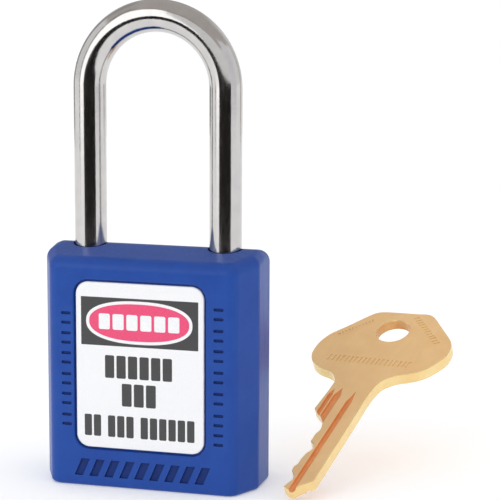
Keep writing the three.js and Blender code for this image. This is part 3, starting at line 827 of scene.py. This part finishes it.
outline = soften(TIP) + spline(BOW)[1:] + soften(BITTING)
clean = []
for q in outline:
    if not clean or (Vector(q) - Vector(clean[-1])).length > 0.06:
        clean.append(q)
key = rings_obj("key_blank", [[to_key(u, v, z) for u, v in clean] for z in (-KEY_T, 0)], [M["key"], M["key_edge"], M["key_groove"]])


def local(p):
    d = p - KEY_TIP
    return Vector((d.dot(KEY_DIR), d.dot(KEY_ACROSS), d.dot(KEY_UP)))


HOLE = (-45.6, 0.0, 3.23)
# the hole's wall takes the darker bore brass, painted reflection and shade
hole = rings_obj("hole", [[to_key(HOLE[0] + HOLE[2] * math.cos(2 * math.pi * k / 64), HOLE[1] + HOLE[2] * math.sin(2 * math.pi * k / 64), z) for k in range(64)] for z in (-KEY_T - 1, 1)], M["key_bore"])
boolean(key, hole)
bevel_edges(key, lambda a, b: abs(local(a).z - local(b).z) < 0.01, 0.16, 3, 50)


def groove(u0, u1, v0, v1, depth, under=False, taper=3.2):
    """Milled groove that runs out to nothing at its bow end; its faces take a darker orange brass as painted shade."""
    s, face = (-1, -KEY_T) if under else (1, 0)
    rings = []
    mid = v0 * 0.4 + v1 * 0.6
    for u, f in ((u0 - taper, 0.02), (u0 - taper * 0.6, 0.35), (u0 - taper * 0.25, 0.75), (u0, 1.0), (u1, 1.0)):
        a, b = mid + (v0 - mid) * f, mid + (v1 - mid) * f
        d = depth * f
        rings.append([
            to_key(u, a - 0.12, face + s * 0.5), to_key(u, b + 0.12, face + s * 0.5),
            to_key(u, b, face), to_key(u, b - 0.12 * f, face - s * d * 0.8), to_key(u, b - 0.3 * f, face - s * d),
            to_key(u, a + 0.3 * f, face - s * d), to_key(u, a + 0.12 * f, face - s * d * 0.8), to_key(u, a, face),
        ])
    return rings_obj("groove", rings, M["key_groove"])


boolean(key, groove(-24.2, 3, -0.1, 1.05, 0.6))
boolean(key, groove(-25.6, -15, -4.35, -3.45, 0.55, taper=1.8))
boolean(key, groove(-25.6, -8, -3.2, -1.8, 0.6, taper=2.2))
boolean(key, groove(-24.5, 3, 1.9, 2.8, 0.5, under=True))


def stamps(ends, count, height, depth=0.11):
    """Row of plain slanted strokes pressed in the bow, in place of its lettering."""
    a, b = Vector(ends[0]), Vector(ends[1])
    along = (b - a).normalized()
    rise = Vector((-along.y, along.x)) * height * 0.5 + along * 0.12
    out = []
    for i in range(count):
        c = a.lerp(b, i / (count - 1))
        half = along * (0.13 if i % 3 else 0.24)
        ring = [c - half - rise, c + half - rise, c + half + rise, c - half + rise]
        out.append(rings_obj("stroke", [[to_key(q.x, q.y, z) for q in ring] for z in (-depth, 0.4)], M["key"]))
    return join(out, "strokes")


boolean(key, stamps(((-42.6, -9.9), (-47.6, -5.0)), 11, 1.1))
boolean(key, stamps(((-50.1, 3.2), (-43.6, 9.9)), 12, 1.1))
boolean(key, stamps(((-35.8, -8.8), (-36.5, 7.2)), 19, 1.7))
bm = bmesh.new()
bm.from_mesh(key.data)
names = [m.name for m in key.data.materials]
edge_highlight_slot = names.index(M["key_edge"].name)
main_slot = names.index(M["key"].name)
# faces turned away from the key's flat sides get the lighter edge brass, a painted highlight chosen by orientation
for f in bm.faces:
    n = f.normal
    if f.material_index == main_slot and abs(n.dot(KEY_UP)) < 0.9:
        f.material_index = edge_highlight_slot
bm.to_mesh(key.data)
bm.free()
smooth(key, 28)
bm = bmesh.new()
bm.from_mesh(key.data)
for e in bm.edges:
    flat = [abs(f.normal.dot(KEY_UP)) > 0.9995 for f in e.link_faces]
    if any(flat) and not all(flat):
        e.smooth = False
bm.to_mesh(key.data)
bm.free()
done(key, "key_body", "key_brass", "key")


# ---------------------------------------------------------------- floor, light and camera
def stage_material(name, strength=None, color=(1, 1, 1)):
    m = bpy.data.materials.new(name)
    m.use_nodes = True
    t = m.node_tree
    if strength is not None:
        t.nodes.remove(t.nodes["Principled BSDF"])
        e = t.nodes.new("ShaderNodeEmission")
        e.inputs["Color"].default_value = (*color, 1)
        e.inputs["Strength"].default_value = strength
        t.links.new(e.outputs[0], t.nodes["Material Output"].inputs["Surface"])
    return m


def floor_material():
    k = Nodes("pale_floor")
    k.set(Base_Color=k.mix(k.span(k.noise(0.02, 3, 0.5), 0.3, 0.7, 0, 1), (0.90, 0.90, 0.905), (0.92, 0.92, 0.92)), Roughness=0.9)
    k.bsdf.inputs["Specular IOR Level"].default_value = 0.1
    k.bsdf.inputs["Emission Color"].default_value = (1, 1, 1, 1)
    k.bsdf.inputs["Emission Strength"].default_value = 0.25
    k.bump([(k.noise(0.6, 2, 0.5), 0.1, 0.01)])
    return k.m


bm = bmesh.new()
bmesh.ops.create_grid(bm, x_segments=2, y_segments=2, size=12.0)
floor = obj_of(bm, "floor", floor_material())

AIM = Vector((0.0, 0.0, 0.045))


def panel(name, az, el, dist, w, h, strength, color=(1, 1, 1), lit=True, centre_z=None):
    """A soft studio panel that faces the object, seen only in light and reflections."""
    a, e = math.radians(az), math.radians(el)
    back = Vector((math.sin(a) * math.cos(e), -math.cos(a) * math.cos(e), math.sin(e)))
    place = AIM + back * dist
    if centre_z is not None:
        place.z = centre_z
    bm = bmesh.new()
    bmesh.ops.create_grid(bm, x_segments=1, y_segments=1, size=0.5)
    o = obj_of(bm, name, stage_material(name + "_light", strength, color))
    o.scale = (w, h, 1)
    o.rotation_mode = "QUATERNION"
    o.rotation_quaternion = back.to_track_quat("Z", "Y")
    o.location = place
    o.visible_camera = False
    o.visible_transmission = False
    o.visible_shadow = False
    o.visible_diffuse = lit
    return o


CAM_AZ, CAM_EL = 15.311, 9.343
panel("softbox_left", CAM_AZ - 48, 0, 0.62, 0.45, 0.64, 1.7, centre_z=0.33)
panel("softbox_right", CAM_AZ + 60, 0, 0.62, 0.44, 0.60, 0.85, (0.95, 0.94, 1.0), centre_z=0.31)
panel("dark_front", CAM_AZ - 2.5, 0, 0.18, 0.32, 0.076, 0.012, (1.0, 0.8, 0.75), lit=False, centre_z=0.038)
panel("dark_top", CAM_AZ - 40, 0, 0.60, 1.2, 0.03, 0.02, lit=False, centre_z=0.665)
panel("dark_edge_left", CAM_AZ - 75, 0, 0.5, 0.03, 0.7, 0.05, lit=False, centre_z=0.35)
panel("grey_back_left", CAM_AZ - 140, 0, 0.6, 0.26, 0.8, 0.36, (1, 0.97, 0.94), lit=False, centre_z=0.4)
panel("grey_back_right", CAM_AZ + 126, 0, 0.6, 0.2, 0.8, 0.62, (1, 0.98, 0.95), lit=False, centre_z=0.4)
panel("grey_back_mid", CAM_AZ + 180, 0, 0.6, 0.5, 0.5, 0.42, lit=False, centre_z=0.25)
panel("ceiling_grey", CAM_AZ - 30, 90, 0.9, 2.4, 2.4, 0.52, (1, 0.94, 0.9), lit=False)

world = bpy.data.worlds.new("studio")
bpy.context.scene.world = world
world.use_nodes = True
world.node_tree.nodes["Background"].inputs["Color"].default_value = (0.985, 0.99, 1.0, 1)
world.node_tree.nodes["Background"].inputs["Strength"].default_value = 0.86
bpy.context.scene.view_settings.view_transform = "Standard"
bpy.context.scene.view_settings.look = "None"

cam_data = bpy.data.cameras.new("camera")
camera = bpy.data.objects.new("camera", cam_data)
bpy.context.scene.collection.objects.link(camera)
cam_data.sensor_width = 36.0
cam_data.lens = 137.93
cam_data.clip_start, cam_data.clip_end = 0.01, 60.0
a, e = math.radians(CAM_AZ), math.radians(CAM_EL)
back_dir = Vector((math.sin(a) * math.cos(e), -math.cos(a) * math.cos(e), math.sin(e)))
camera.location = Vector((17.07, 0, 42.55)) * MM + back_dir * 337.65 * MM
camera.rotation_mode = "QUATERNION"
camera.rotation_quaternion = (-back_dir).to_track_quat("-Z", "Y") @ Quaternion((0, 0, 1), 0.0042)
bpy.context.scene.camera = camera

bpy.context.view_layer.update()
